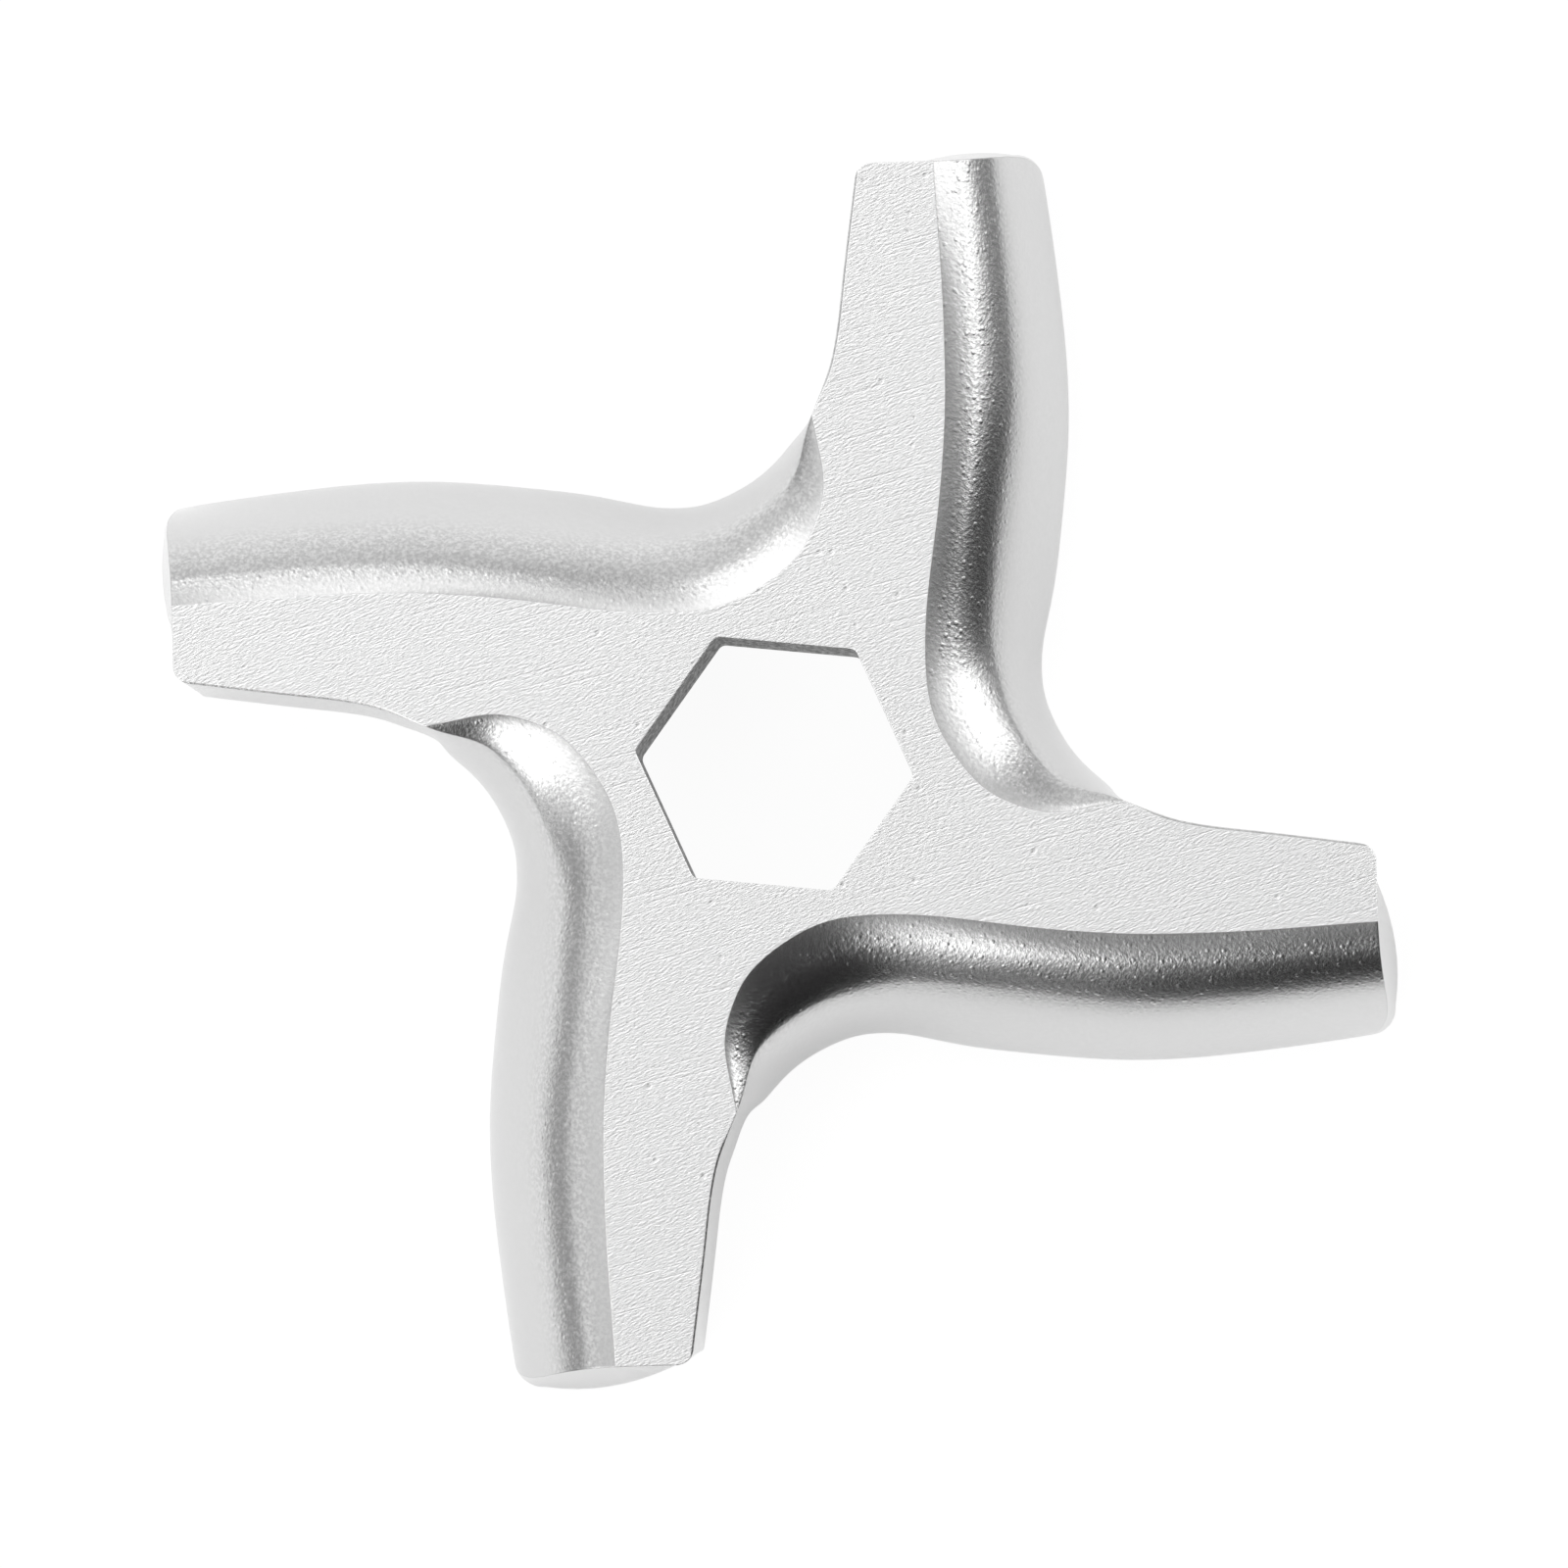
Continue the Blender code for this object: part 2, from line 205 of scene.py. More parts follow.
def section(edge, crest, outline, depths, inward):
    """Points from the land's edge down to the back."""
    width = (crest - edge).length
    slope = TRAILING_SLOPE + (CREST_SLOPE - TRAILING_SLOPE) * min(width / FULL_FLUTE_WIDTH, 1)
    floor_fall = math.tan(FLUTE_FLOOR_SLOPE)
    flank_fall = math.tan(slope)
    floor_depth, crest_depth = depths
    wall_depth = floor_depth - (FLUTE_FLOOR_PLACE - FLUTE_WALL_PLACE) * width * floor_fall
    to_crest = (1 - FLUTE_FLOOR_PLACE) * width
    roll = (to_crest * flank_fall - crest_depth + floor_depth) / (flank_fall - floor_fall)
    shoulder = THICKNESS - crest_depth - (outline - crest).length * flank_fall

    def on_flute(place, depth):
        return Vector((*edge.lerp(crest, place), THICKNESS - depth))

    land_edge = on_flute(0, 0)
    wall_foot = on_flute(FLUTE_WALL_PLACE, wall_depth)
    flute_floor = on_flute(FLUTE_FLOOR_PLACE, floor_depth)
    roll_place = FLUTE_FLOOR_PLACE + (roll / width if width else 0)
    roll_start = on_flute(roll_place, floor_depth + roll * floor_fall)
    flute_crest = on_flute(1, crest_depth)
    wing_shoulder = Vector((*outline, max(shoulder, WING_FOOT)))
    wing_foot = Vector((*outline, WING_FOOT))
    points = bend(land_edge, wall_foot, flute_floor, WALL_STEPS)
    points += bend(flute_floor, roll_start, flute_crest, ROLL_STEPS)
    points += bend(flute_crest, wing_shoulder, wing_foot, WING_STEPS)
    points.append(wing_foot)
    for i in range(ROUNDING_STEPS + 1):
        angle = math.pi / 2 * i / ROUNDING_STEPS
        place = outline + inward * BACK_ROUNDING * (1 - math.cos(angle))
        points.append(Vector((*place, BACK_ROUNDING * (1 - math.sin(angle)))))
    return points


def side_rings():
    stations = side_stations()
    last = len(stations) - 1
    sections = []
    for i, (edge, crest, outline, depths) in enumerate(stations):
        along = (stations[min(i + 1, last)][2] - stations[max(i - 1, 0)][2]).normalized()
        sections.append(section(edge, crest, outline, depths, Vector((-along.y, along.x))))
    rings = []
    for arm in range(4):
        turn = Matrix.Rotation(math.tau * arm / 4, 3, "Z")
        rings += [[turn @ point for point in points] for points in sections]
    return rings


FINISHES = ("ground_land", "blasted_casting", "broached_hole")
LAND, CASTING, HOLE = range(3)
MERGE_DISTANCE = 0.0005
SMOOTH_SHARE = 2


def new_object(name, bm):
    """The mesh turned to the frame's axes and scaled to metres, with a slot for each finish."""
    bmesh.ops.recalc_face_normals(bm, faces=bm.faces)
    bmesh.ops.transform(bm, matrix=Matrix.Rotation(ARM_TURN, 4, "Z") @ Matrix.Scale(MM, 4), verts=bm.verts)
    mesh = bpy.data.meshes.new(name)
    bm.to_mesh(mesh)
    bm.free()
    made = bpy.data.objects.new(name, mesh)
    bpy.context.scene.collection.objects.link(made)
    for finish in FINISHES:
        made.data.materials.append(bpy.data.materials.get(finish) or bpy.data.materials.new(finish))
    return made


def skin_rings(bm, rings, closed, finish, share_of):
    """share_of gives how far a step lies down the section, which the casting's finish reads as U."""
    verts = [[bm.verts.new(point) for point in ring] for ring in rings]
    count = len(verts)
    shares = bm.loops.layers.uv.new("share")
    for i in range(count if closed else count - 1):
        here, there = verts[i], verts[(i + 1) % count]
        for j in range(len(here) - 1 if closed else len(here)):
            k = (j + 1) % len(here)
            face = bm.faces.new((here[j], there[j], there[k], here[k]))
            face.material_index = finish
            face.smooth = True
            for loop, step in zip(face.loops, (j, j, k, k)):
                loop[shares].uv = (share_of(step), 0.5)
    return verts


def share_of_skin(step):
    """0 to 1 from the land's edge to the crest, and 1 to 2 from there to the foot of the wing."""
    past_crest = step - WALL_STEPS - ROLL_STEPS
    return 1 + (past_crest / WING_STEPS if past_crest > 0 else past_crest / (WALL_STEPS + ROLL_STEPS))


def smooth_all_over(step):
    return SMOOTH_SHARE


def long_armed_blank():
    bm = bmesh.new()
    verts = skin_rings(bm, side_rings(), True, CASTING, share_of_skin)
    bm.faces.new([column[0] for column in verts]).material_index = LAND
    bm.faces.new([column[-1] for column in reversed(verts)]).material_index = CASTING
    bmesh.ops.remove_doubles(bm, verts=bm.verts, dist=MERGE_DISTANCE)
    return new_object("knife_casting", bm)


# The tips are cut to a twisted outline: square across the land, crowned and longer at the wing below it.
TIP_SLANT = 0.46  # how far the widest outline runs past the land at the wing corner
TIP_CROWN = 0.5
TIP_EDGE = 0.1  # chamfer along the back
WING_CORNER_RADIUS = 0.94
WING_CORNER_CENTRE = Vector((8.13, 20.238))
HEEL_TOP_RADIUS = 0.6
HEEL_TOP_CENTRE = Vector((3.33, 19.98))
HEEL_FOOT_RADIUS = 0.15
HEEL_FOOT_CENTRE = Vector((2.73, 19.80))
WING_SIDE_HEADING = math.radians(10)
HEEL_SIDE_HEADING = math.radians(173)
CLEAR_OF_WING = Vector((0.7, -1.7))
CLEAR_OF_HEEL = Vector((-0.4, -0.9))
PAST = 1.0  # how far a cutter runs past the face it cuts through
CORNER_STEPS = 10


def arc(centre, radius, start, end, steps):
    return [
        centre + radius * Vector((math.cos(angle), math.sin(angle)))
        for angle in np.linspace(start, end, steps + 1)
    ]


def tip_outline(rise, inset):
    """rise goes from 0 at the widest outline to 1 at the land, where the tips are cut square."""
    wing_centre = WING_CORNER_CENTRE - Vector((0, TIP_SLANT * rise))
    heel_centre = HEEL_FOOT_CENTRE.lerp(HEEL_TOP_CENTRE, rise)
    heel_radius = HEEL_FOOT_RADIUS + (HEEL_TOP_RADIUS - HEEL_FOOT_RADIUS) * rise
    slope = wing_centre - heel_centre
    square = math.atan2(slope.y, slope.x) + math.pi / 2
    outward = Vector((math.cos(square), math.sin(square)))
    wing_corner = arc(wing_centre, WING_CORNER_RADIUS - inset, WING_SIDE_HEADING, square, CORNER_STEPS)
    heel_corner = arc(heel_centre, heel_radius - inset, square, HEEL_SIDE_HEADING, CORNER_STEPS)
    edge = []
    for i in range(1, CORNER_STEPS):
        share = i / CORNER_STEPS
        crown = 4 * TIP_CROWN * (1 - rise) * share * (1 - share)
        edge.append(wing_corner[-1].lerp(heel_corner[0], share) + crown * outward)
    start = wing_corner[0] + CLEAR_OF_WING
    finish = heel_corner[-1] + CLEAR_OF_HEEL
    one_tip = [start, *wing_corner, *edge, *heel_corner, finish]
    return [turned(point, math.tau * arm / 4) for arm in range(4) for point in one_tip]


def tip_trimmer():
    levels = [
        (THICKNESS + PAST, 1, 0),
        (THICKNESS, 1, 0),
        (WING_FOOT, 0, 0),
        (TIP_EDGE, 0, 0),
        (0, 0, TIP_EDGE),
        (-PAST, 0, TIP_EDGE),
    ]
    rings = [[(*point, height) for point in tip_outline(rise, inset)] for height, rise, inset in levels]
    bm = bmesh.new()
    verts = skin_rings(bm, rings, False, CASTING, smooth_all_over)
    bm.faces.new(verts[0])
    bm.faces.new(list(reversed(verts[-1])))
    return new_object("tip_trimmer", bm)


# The drive hole fits an 8 mm hexagonal shaft with clearance, and is led in from the back.
HEX_ACROSS = 8.3
HEX_TURN = math.radians(-5.2)
HEX_CORNER_RADIUS = 0.3
HEX_LEAD_IN = 0.5
HEX_CORNER_STEPS = 4


def hexagon(across_flats, height):
    centre_reach = (across_flats / 2 - HEX_CORNER_RADIUS) / math.cos(math.pi / 6)
    points = []
    for corner in range(6):
        heading = HEX_TURN + math.tau * corner / 6
        centre = centre_reach * Vector((math.cos(heading), math.sin(heading)))
        points += arc(centre, HEX_CORNER_RADIUS, heading - math.pi / 6, heading + math.pi / 6, HEX_CORNER_STEPS)
    return [(*point, height) for point in points]


def hex_broach():
    bm = bmesh.new()
    rings = [
        hexagon(HEX_ACROSS + 2 * (HEX_LEAD_IN + PAST), -PAST),
        hexagon(HEX_ACROSS, HEX_LEAD_IN),
        hexagon(HEX_ACROSS, THICKNESS + PAST),
    ]
    verts = skin_rings(bm, rings, False, HOLE, smooth_all_over)
    bm.faces.new(list(reversed(verts[0])))
    bm.faces.new(verts[-1])
    return new_object("hex_broach", bm)


def cut(target, cutter, operation):
    bpy.ops.object.select_all(action="DESELECT")
    target.select_set(True)
    bpy.context.view_layer.objects.active = target
    boolean = target.modifiers.new(cutter.name, "BOOLEAN")
    boolean.operation = operation
    boolean.object = cutter
    boolean.solver = "EXACT"
    bpy.ops.object.modifier_apply(modifier=boolean.name)
    bpy.data.objects.remove(cutter, do_unlink=True)


def sharpen_land(mesh):
    """Keeps the outline of the land crisp, however gently the flute falls away from it."""
    bm = bmesh.new()
    bm.from_mesh(mesh)
    for edge in bm.edges:
        if len({face.material_index == LAND for face in edge.link_faces}) == 2:
            edge.smooth = False
    bm.to_mesh(mesh)
    bm.free()


SMOOTH_UP_TO = 30

knife = long_armed_blank()
cut(knife, tip_trimmer(), "INTERSECT")
cut(knife, hex_broach(), "DIFFERENCE")
bpy.ops.object.shade_smooth_by_angle(angle=math.radians(SMOOTH_UP_TO))
sharpen_land(knife.data)


def linear(hex_colour):
    """sRGB hex to linear red, green, blue, alpha."""
    parts = [int(hex_colour[i : i + 2], 16) / 255 for i in (1, 3, 5)]
    return [part / 12.92 if part <= 0.04045 else ((part + 0.055) / 1.055) ** 2.4 for part in parts] + [1]


def add_node(tree, kind, settings=(), inputs=(), links=()):
    node = tree.nodes.new(kind)
    for name, value in dict(settings).items():
        setattr(node, name, value)
    for name, value in dict(inputs).items():
        node.inputs[name].default_value = value
    for name, socket in dict(links).items():
        tree.links.new(socket, node.inputs[name])
    return node


def steel(name, colour, roughness):
    material = bpy.data.materials[name]
    material.use_nodes = True
    shader = material.node_tree.nodes["Principled BSDF"]
    shader.inputs["Base Color"].default_value = linear(colour)
    shader.inputs["Metallic"].default_value = 1
    shader.inputs["Roughness"].default_value = roughness
    return material.node_tree, shader


# Surface grinding leaves the land pale, with a fine grain that runs the way the stone went, a few longer
# scratches and small pits. Its edges are broken by a hair, which draws a thin line round it.
LAND_GRAIN = 0.2 * MM
LAND_GRAIN_HEADING = ARM_TURN + math.radians(25)
SCRATCH_LENGTH = 4 * MM
SCRATCH_HEADING = ARM_TURN + math.radians(15)
PIT_SPACING = 1.1 * MM
LAND_GRAIN_DEPTH = 0.013 * MM
LAND_EDGE_RADIUS = 0.06 * MM
BEVEL_SAMPLES = 4

tree, shader = steel("ground_land", "#F2F2F2", 0.35)
coordinates = add_node(tree, "ShaderNodeTexCoord").outputs["Object"]
along_stone = add_node(
    tree,
    "ShaderNodeMapping",
    {"vector_type": "TEXTURE"},
    {"Rotation": (0, 0, LAND_GRAIN_HEADING), "Scale": (1, 0.35, 1)},
    {"Vector": coordinates},
)
grain = add_node(
    tree,
    "ShaderNodeTexNoise",
    inputs={"Scale": 1 / LAND_GRAIN, "Detail": 2.0, "Roughness": 0.6},
    links={"Vector": along_stone.outputs["Vector"]},
)
along_scratch = add_node(
    tree,
    "ShaderNodeMapping",
    {"vector_type": "TEXTURE"},
    {"Rotation": (0, 0, SCRATCH_HEADING), "Scale": (1, 0.02, 1)},
    {"Vector": coordinates},
)
scratches = add_node(
    tree,
    "ShaderNodeTexNoise",
    inputs={"Scale": 1 / SCRATCH_LENGTH, "Detail": 1.0},
    links={"Vector": along_scratch.outputs["Vector"]},
)
few_scratches = add_node(
    tree,
    "ShaderNodeMapRange",
    inputs={"From Min": 0.62, "From Max": 0.72, "To Min": 0.0, "To Max": 0.2},
    links={"Value": scratches.outputs["Fac"]},
)
pits = add_node(tree, "ShaderNodeTexVoronoi", inputs={"Scale": 1 / PIT_SPACING}, links={"Vector": coordinates})
small_pits = add_node(
    tree,
    "ShaderNodeMapRange",
    inputs={"From Min": 0.04, "From Max": 0.1, "To Min": 0.6, "To Max": 0.0},
    links={"Value": pits.outputs["Distance"]},
)
scratched = add_node(
    tree,
    "ShaderNodeMath",
    {"operation": "SUBTRACT"},
    links={0: grain.outputs["Fac"], 1: few_scratches.outputs["Result"]},
)
height = add_node(
    tree,
    "ShaderNodeMath",
    {"operation": "SUBTRACT"},
    links={0: scratched.outputs["Value"], 1: small_pits.outputs["Result"]},
)
pale = add_node(
    tree,
    "ShaderNodeMapRange",
    inputs={"From Min": 0.2, "From Max": 0.65, "To Min": linear("#EAEAEA")[0], "To Max": linear("#FCFCFC")[0]},
    links={"Value": height.outputs["Value"]},
)
tree.links.new(pale.outputs["Result"], shader.inputs["Base Color"])
broken_edge = add_node(tree, "ShaderNodeBevel", {"samples": BEVEL_SAMPLES}, {"Radius": LAND_EDGE_RADIUS})
bump = add_node(
    tree,
    "ShaderNodeBump",
    inputs={"Distance": LAND_GRAIN_DEPTH},
    links={"Height": height.outputs["Value"], "Normal": broken_edge.outputs["Normal"]},
)
tree.links.new(bump.outputs["Normal"], shader.inputs["Normal"])

# Blasting leaves the flute a darker satin grey with a hammered grain and bright specks. They are strongest
# on the shoulder and fade out past the crest, where the wing is smoother and paler.
CASTING_GRAIN = 0.13 * MM
SPECK_SPACING = 0.32 * MM
CASTING_GRAIN_DEPTH = 0.011 * MM
CASTING_EDGE_RADIUS = 0.08 * MM

tree, shader = steel("blasted_casting", "#C8C8C8", 0.27)
skin_map = add_node(tree, "ShaderNodeUVMap", {"uv_map": "share"})
share = add_node(tree, "ShaderNodeSeparateXYZ", links={"Vector": skin_map.outputs["UV"]})
past_wall = add_node(
    tree,
    "ShaderNodeMapRange",
    {"interpolation_type": "SMOOTHSTEP"},
    {"From Min": 0.15, "From Max": 0.5, "To Min": 0.35, "To Max": 1.0},
    {"Value": share.outputs["X"]},
)
in_flute = add_node(
    tree,
    "ShaderNodeMapRange",
    {"interpolation_type": "SMOOTHSTEP"},
    {"From Min": 0.85, "From Max": 1.2, "To Min": 1.0, "To Max": 0.15},
    {"Value": share.outputs["X"]},
)
strength = add_node(
    tree,
    "ShaderNodeMath",
    {"operation": "MULTIPLY"},
    links={0: in_flute.outputs["Result"], 1: past_wall.outputs["Result"]},
)
coordinates = add_node(tree, "ShaderNodeTexCoord").outputs["Object"]
grain = add_node(
    tree,
    "ShaderNodeTexNoise",
    inputs={"Scale": 1 / CASTING_GRAIN, "Detail": 2.0, "Roughness": 0.6},
    links={"Vector": coordinates},
)
grey = add_node(
    tree,
    "ShaderNodeMapRange",
    inputs={"To Min": linear("#C6C6C6")[0], "To Max": linear("#C0C0C0")[0]},
    links={"Value": in_flute.outputs["Result"]},
)
mottle = add_node(
    tree,
    "ShaderNodeMapRange",
    inputs={"From Min": 0.4, "From Max": 0.65, "To Min": -0.05, "To Max": 0.1},
    links={"Value": grain.outputs["Fac"]},
)
mottle = add_node(
    tree,
    "ShaderNodeMath",
    {"operation": "MULTIPLY"},
    links={0: mottle.outputs["Result"], 1: strength.outputs["Value"]},
)
mottled_grey = add_node(
    tree,
    "ShaderNodeMath",
    {"operation": "ADD"},
    links={0: grey.outputs["Result"], 1: mottle.outputs["Value"]},
)
tree.links.new(mottled_grey.outputs["Value"], shader.inputs["Base Color"])
specks = add_node(tree, "ShaderNodeTexVoronoi", inputs={"Scale": 1 / SPECK_SPACING}, links={"Vector": coordinates})
small_specks = add_node(
    tree,
    "ShaderNodeMapRange",
    {"interpolation_type": "SMOOTHSTEP"},
    {"From Min": 0.08, "From Max": 0.3, "To Min": 0.55, "To Max": 0.0},
    {"Value": specks.outputs["Distance"]},
)
height = add_node(
    tree,
    "ShaderNodeMath",
    {"operation": "ADD"},
    links={0: grain.outputs["Fac"], 1: small_specks.outputs["Result"]},
)
broken_edge = add_node(tree, "ShaderNodeBevel", {"samples": BEVEL_SAMPLES}, {"Radius": CASTING_EDGE_RADIUS})
bump = add_node(
    tree,
    "ShaderNodeBump",
    inputs={"Distance": CASTING_GRAIN_DEPTH},
    links={
        "Strength": strength.outputs["Value"],
        "Height": height.outputs["Value"],
        "Normal": broken_edge.outputs["Normal"],
    },
)
tree.links.new(bump.outputs["Normal"], shader.inputs["Normal"])

# The broach tears the walls of the hole a little, so they are dull and streaked along its stroke.
STREAK_WIDTH = 0.18 * MM
STREAK_DEPTH = 0.08 * MM

tree, shader = steel("broached_hole", "#9A9A9A", 0.5)
coordinates = add_node(tree, "ShaderNodeTexCoord").outputs["Object"]
along_stroke = add_node(tree, "ShaderNodeMapping", inputs={"Scale": (1, 1, 0.2)}, links={"Vector": coordinates})
streaks = add_node(
    tree,
    "ShaderNodeTexNoise",
    inputs={"Scale": 1 / STREAK_WIDTH, "Detail": 3.0},
    links={"Vector": along_stroke.outputs["Vector"]},
)
torn = add_node(
    tree,
    "ShaderNodeMapRange",
    inputs={"From Min": 0.35, "From Max": 0.65, "To Min": linear("#565656")[0], "To Max": linear("#ACACAC")[0]},
    links={"Value": streaks.outputs["Fac"]},
)
tree.links.new(torn.outputs["Result"], shader.inputs["Base Color"])
bump = add_node(tree, "ShaderNodeBump", inputs={"Distance": STREAK_DEPTH}, links={"Height": streaks.outputs["Fac"]})
tree.links.new(bump.outputs["Normal"], shader.inputs["Normal"])

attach(knife, "root")
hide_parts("knife")

# The floor is a sheet of white paper. The camera sees it white by its own colour, with a little of the knife's
# shade.
# The steel sees it as it is lit, plus an even glow, with painted shade that darkens it away to the lower right.
PAPER_SIZE = 1.2
PAPER_GAP = 0.02 * MM  # under the knife
PAPER_COLOUR = 0.8
SHADE_SEEN = 0.1
WHITE_SEEN = 0.94
GLOW_ON_STEEL = 0.46
PAINTED_SHADE_FROM = 24 * MM
PAINTED_SHADE_TO = 40 * MM
DARKEST_PAINTED_SHADE = 0.85

bpy.ops.object.select_all(action="DESELECT")
bpy.ops.mesh.primitive_plane_add(size=PAPER_SIZE, location=(0, 0, -PAPER_GAP))
floor = bpy.context.object
floor.name = "floor"
paper = bpy.data.materials.new("white_paper")
paper.use_nodes = True
tree = paper.node_tree
tree.nodes.clear()
output = add_node(tree, "ShaderNodeOutputMaterial")
path = add_node(tree, "ShaderNodeLightPath")
seen = add_node(
    tree,
    "ShaderNodeMath",
    {"operation": "MAXIMUM"},
    links={0: path.outputs["Is Camera Ray"], 1: path.outputs["Is Transmission Ray"]},
)
shade = add_node(
    tree,
    "ShaderNodeMapRange",
    inputs={"To Min": PAPER_COLOUR, "To Max": SHADE_SEEN},
    links={"Value": seen.outputs["Value"]},
).outputs["Result"]
white = add_node(
    tree,
    "ShaderNodeMapRange",
    inputs={"To Min": 0.0, "To Max": WHITE_SEEN},
    links={"Value": seen.outputs["Value"]},
)
mirrored = add_node(
    tree,
    "ShaderNodeMapRange",
    inputs={"To Min": 0.0, "To Max": GLOW_ON_STEEL},
    links={"Value": path.outputs["Is Glossy Ray"]},
)
glow = add_node(
    tree,
    "ShaderNodeMath",
    {"operation": "ADD"},
    links={0: white.outputs["Result"], 1: mirrored.outputs["Result"]},
).outputs["Value"]
place = add_node(tree, "ShaderNodeTexCoord").outputs["Object"]
# Painted shade: as the steel sees it, the paper's colour and glow fade darker towards the lower right.
for axis in (PICTURE_RIGHT, -PICTURE_UP):
    along = add_node(tree, "ShaderNodeVectorMath", {"operation": "DOT_PRODUCT"}, {1: axis}, {0: place})
    away = add_node(
        tree,
        "ShaderNodeMapRange",
        {"interpolation_type": "SMOOTHSTEP"},
        {"From Min": PAINTED_SHADE_FROM, "From Max": PAINTED_SHADE_TO, "To Min": 0.0, "To Max": DARKEST_PAINTED_SHADE},
        {"Value": along.outputs["Value"]},
    )
    dark = add_node(
        tree,
        "ShaderNodeMath",
        {"operation": "MULTIPLY"},
        links={0: away.outputs["Result"], 1: path.outputs["Is Glossy Ray"]},
    )
    kept = add_node(
        tree,
        "ShaderNodeMapRange",
        inputs={"To Min": 1.0, "To Max": 0.0},
        links={"Value": dark.outputs["Value"]},
    ).outputs["Result"]
    shade = add_node(tree, "ShaderNodeMath", {"operation": "MULTIPLY"}, links={0: shade, 1: kept}).outputs["Value"]
    glow = add_node(tree, "ShaderNodeMath", {"operation": "MULTIPLY"}, links={0: glow, 1: kept}).outputs["Value"]
diffuse = add_node(tree, "ShaderNodeBsdfDiffuse", links={"Color": shade})
emission = add_node(tree, "ShaderNodeEmission", links={"Strength": glow})
total = add_node(
    tree,
    "ShaderNodeAddShader",
    links={0: diffuse.outputs["BSDF"], 1: emission.outputs["Emission"]},
)
tree.links.new(total.outputs["Shader"], output.inputs["Surface"])
floor.data.materials.append(paper)


# A white light tent stands round the knife. It is dimmer overhead than near the table and brightest at the
# upper left, and its lower right corner is open to the dark room, so flutes that face that way go dark.
OPEN_CORNER = 0.02
WALL_LEVEL = 1.2
ROOF_LEVEL = 0.95
ROOF_FROM = 0.3  # height over distance
KEY_ELEVATION = math.radians(35)

world = bpy.data.worlds.new("world")
bpy.context.scene.world = world
world.use_nodes = True
tree = world.node_tree
background = tree.nodes["Background"]
direction = add_node(tree, "ShaderNodeTexCoord").outputs["Generated"]
sides = []
for axis in (PICTURE_RIGHT, -PICTURE_UP):
    along = add_node(tree, "ShaderNodeVectorMath", {"operation": "DOT_PRODUCT"}, {1: axis}, {0: direction})
    side = add_node(
        tree,
        "ShaderNodeMapRange",
        {"interpolation_type": "SMOOTHSTEP"},
        {"From Min": -0.14, "From Max": 0.02},
        {"Value": along.outputs["Value"]},
    )
    sides.append(side.outputs["Result"])
opening = add_node(tree, "ShaderNodeMath", {"operation": "MULTIPLY"}, links={0: sides[0], 1: sides[1]})
corner = add_node(
    tree,
    "ShaderNodeMapRange",
    inputs={"To Min": 1.0, "To Max": OPEN_CORNER},
    links={"Value": opening.outputs["Value"]},
)
upward = add_node(tree, "ShaderNodeVectorMath", {"operation": "DOT_PRODUCT"}, {1: (0, 0, 1)}, {0: direction})
wall = add_node(
    tree,
    "ShaderNodeMapRange",
    {"interpolation_type": "SMOOTHSTEP"},
    {"From Min": 0.0, "From Max": ROOF_FROM, "To Min": WALL_LEVEL, "To Max": ROOF_LEVEL},
    {"Value": upward.outputs["Value"]},
)
key = math.cos(KEY_ELEVATION) * -lean + math.sin(KEY_ELEVATION) * Vector((0, 0, 1))
towards_key = add_node(tree, "ShaderNodeVectorMath", {"operation": "DOT_PRODUCT"}, {1: key}, {0: direction})
lit = add_node(
    tree,
    "ShaderNodeMapRange",
    inputs={"From Min": -0.5, "To Min": 0.8, "To Max": 1.05},
    links={"Value": towards_key.outputs["Value"]},
)
tent = add_node(
    tree,
    "ShaderNodeMath",
    {"operation": "MULTIPLY"},
    links={0: corner.outputs["Result"], 1: wall.outputs["Result"]},
)
tent = add_node(
    tree,
    "ShaderNodeMath",
    {"operation": "MULTIPLY"},
    links={0: tent.outputs["Value"], 1: lit.outputs["Result"]},
)

# Dim patches where the tent has its seams: the heading and elevation of each one's middle, how far out it
# stays fully dim and where it has faded out, all in degrees, and the share of the tent's light it leaves.
SEAMS = (
    (268, 6, 8, 28, 0.45),
    (92, 2, 8, 30, 0.35),
    (182, 2, 8, 28, 0.25),
    (33, 35, 8, 34, 0.58),
)


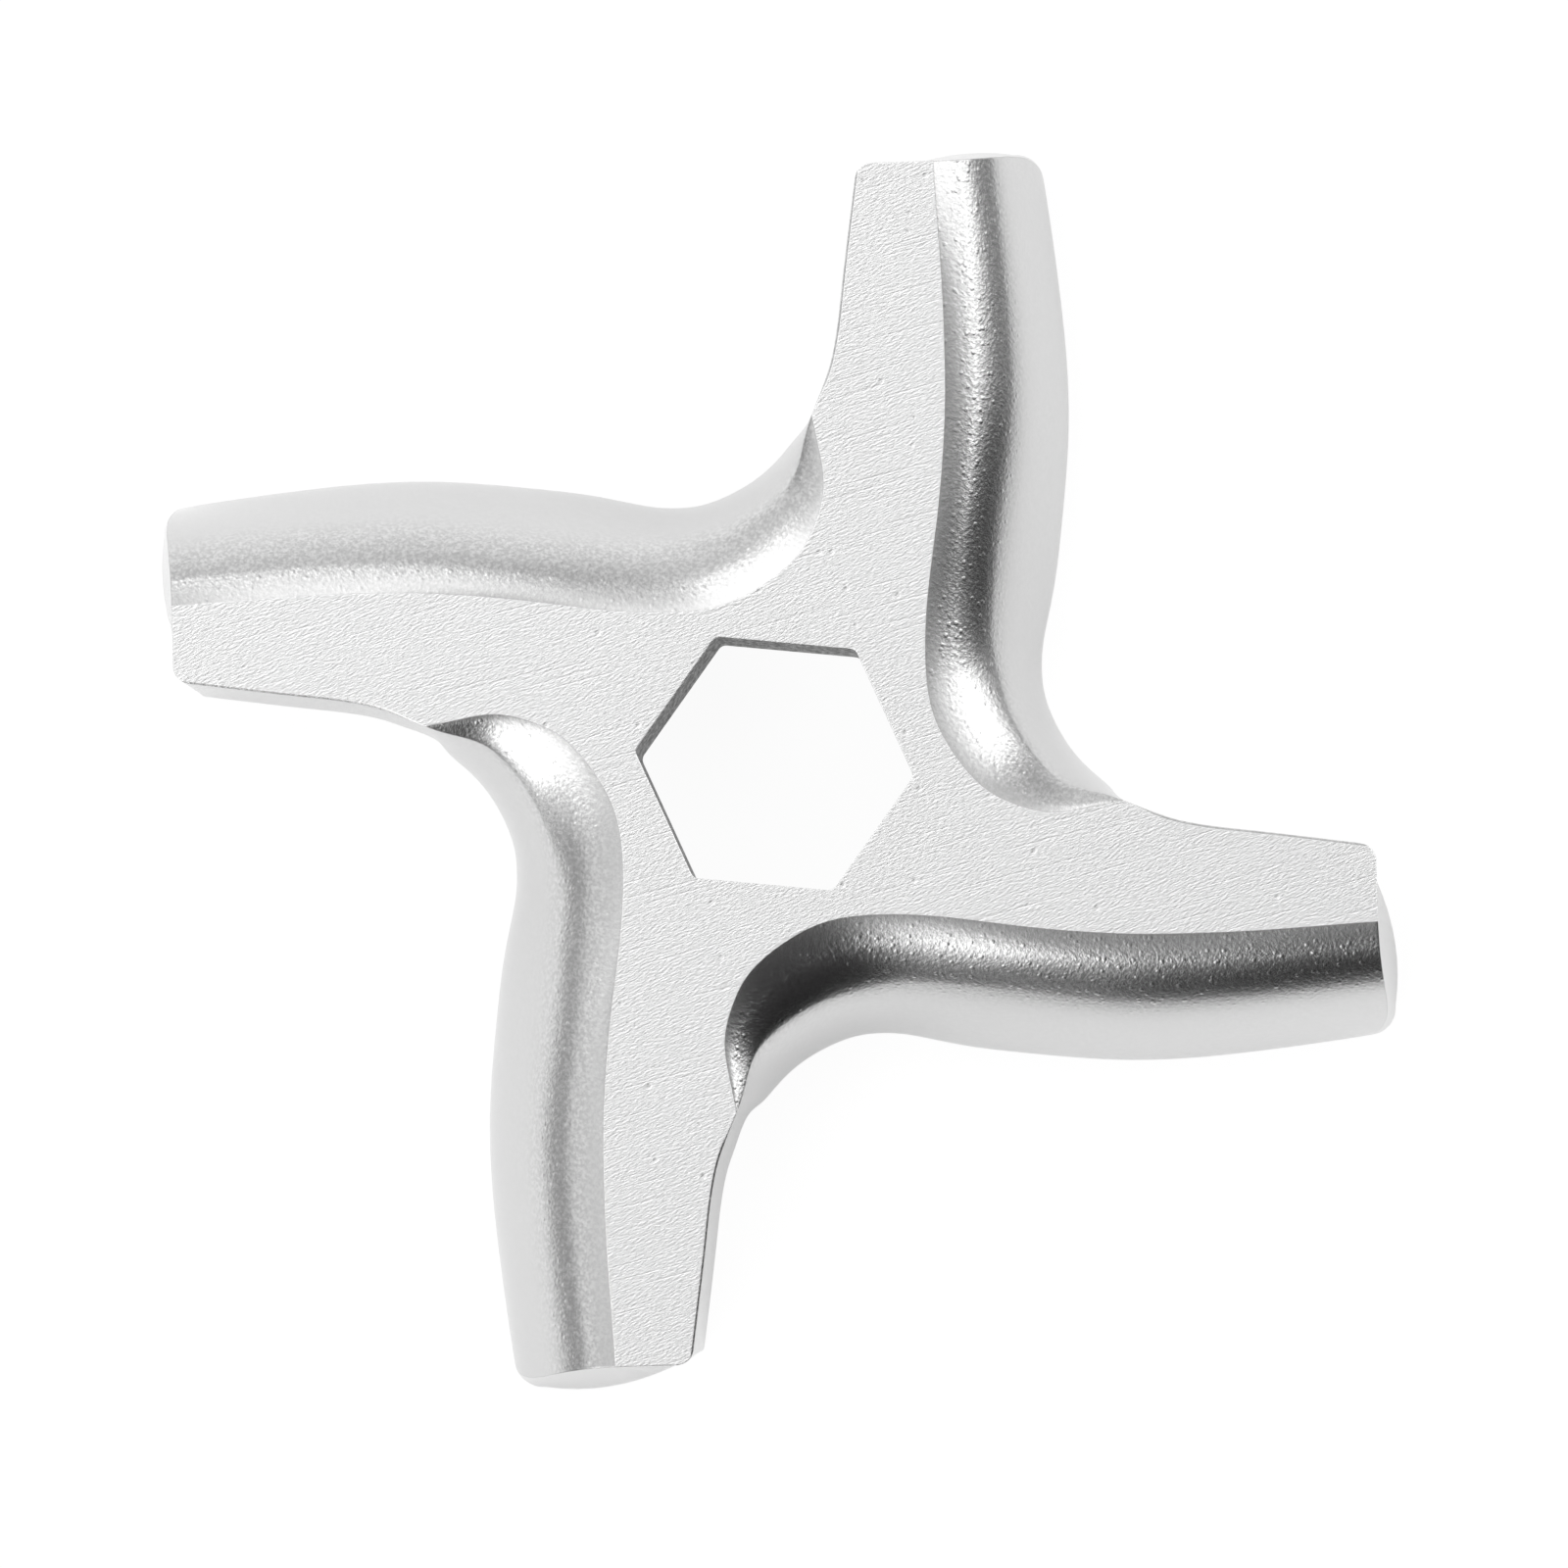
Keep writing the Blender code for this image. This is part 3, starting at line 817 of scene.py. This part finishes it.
def towards(heading, elevation):
    """Both are in degrees, and heading is in the picture: 0 is up, 90 is right."""
    turn = math.radians(heading)
    rise = math.radians(elevation)
    flat = math.sin(turn) * PICTURE_RIGHT + math.cos(turn) * PICTURE_UP
    return math.cos(rise) * flat + math.sin(rise) * Vector((0, 0, 1))


for heading, elevation, start, end, dim in SEAMS:
    near = add_node(
        tree,
        "ShaderNodeVectorMath",
        {"operation": "DOT_PRODUCT"},
        {1: towards(heading, elevation)},
        {0: direction},
    )
    patch = add_node(
        tree,
        "ShaderNodeMapRange",
        {"interpolation_type": "SMOOTHSTEP"},
        {
            "From Min": math.cos(math.radians(end)),
            "From Max": math.cos(math.radians(start)),
            "To Min": 1.0,
            "To Max": dim,
        },
        {"Value": near.outputs["Value"]},
    )
    tent = add_node(
        tree,
        "ShaderNodeMath",
        {"operation": "MULTIPLY"},
        links={0: tent.outputs["Value"], 1: patch.outputs["Result"]},
    )

path = add_node(tree, "ShaderNodeLightPath")
seen = add_node(
    tree,
    "ShaderNodeMath",
    {"operation": "MAXIMUM"},
    links={0: path.outputs["Is Camera Ray"], 1: path.outputs["Is Transmission Ray"]},
)
level = add_node(
    tree,
    "ShaderNodeMath",
    {"operation": "MAXIMUM"},
    links={0: tent.outputs["Value"], 1: seen.outputs["Value"]},
)
background.inputs["Color"].default_value = (1, 1, 1, 1)
tree.links.new(level.outputs["Value"], background.inputs["Strength"])


# Three softboxes stand inside the tent: one behind, and two that rake the bends of the flutes.
SOFTBOX_DISTANCE = 0.6


def softbox(name, heading, elevation, width, height, level):
    """A level of 1 shows white in a mirror."""
    direction = towards(heading, elevation)
    data = bpy.data.lights.new(name, "AREA")
    data.shape = "RECTANGLE"
    data.size = width
    data.size_y = height
    data.energy = level * math.pi * width * height
    lamp = bpy.data.objects.new(name, data)
    bpy.context.scene.collection.objects.link(lamp)
    lamp.location = SOFTBOX_DISTANCE * direction
    lamp.rotation_mode = "QUATERNION"
    lamp.rotation_quaternion = direction.to_track_quat("Z", "Y")


softbox("upper_left", 325, 58, 0.30, 0.30, 1.4)
softbox("upper_right", 61, 36, 0.36, 0.45, 2.0)
softbox("lower_left", 214, 39, 0.36, 0.52, 2.05)

bpy.context.scene.view_settings.view_transform = "Standard"
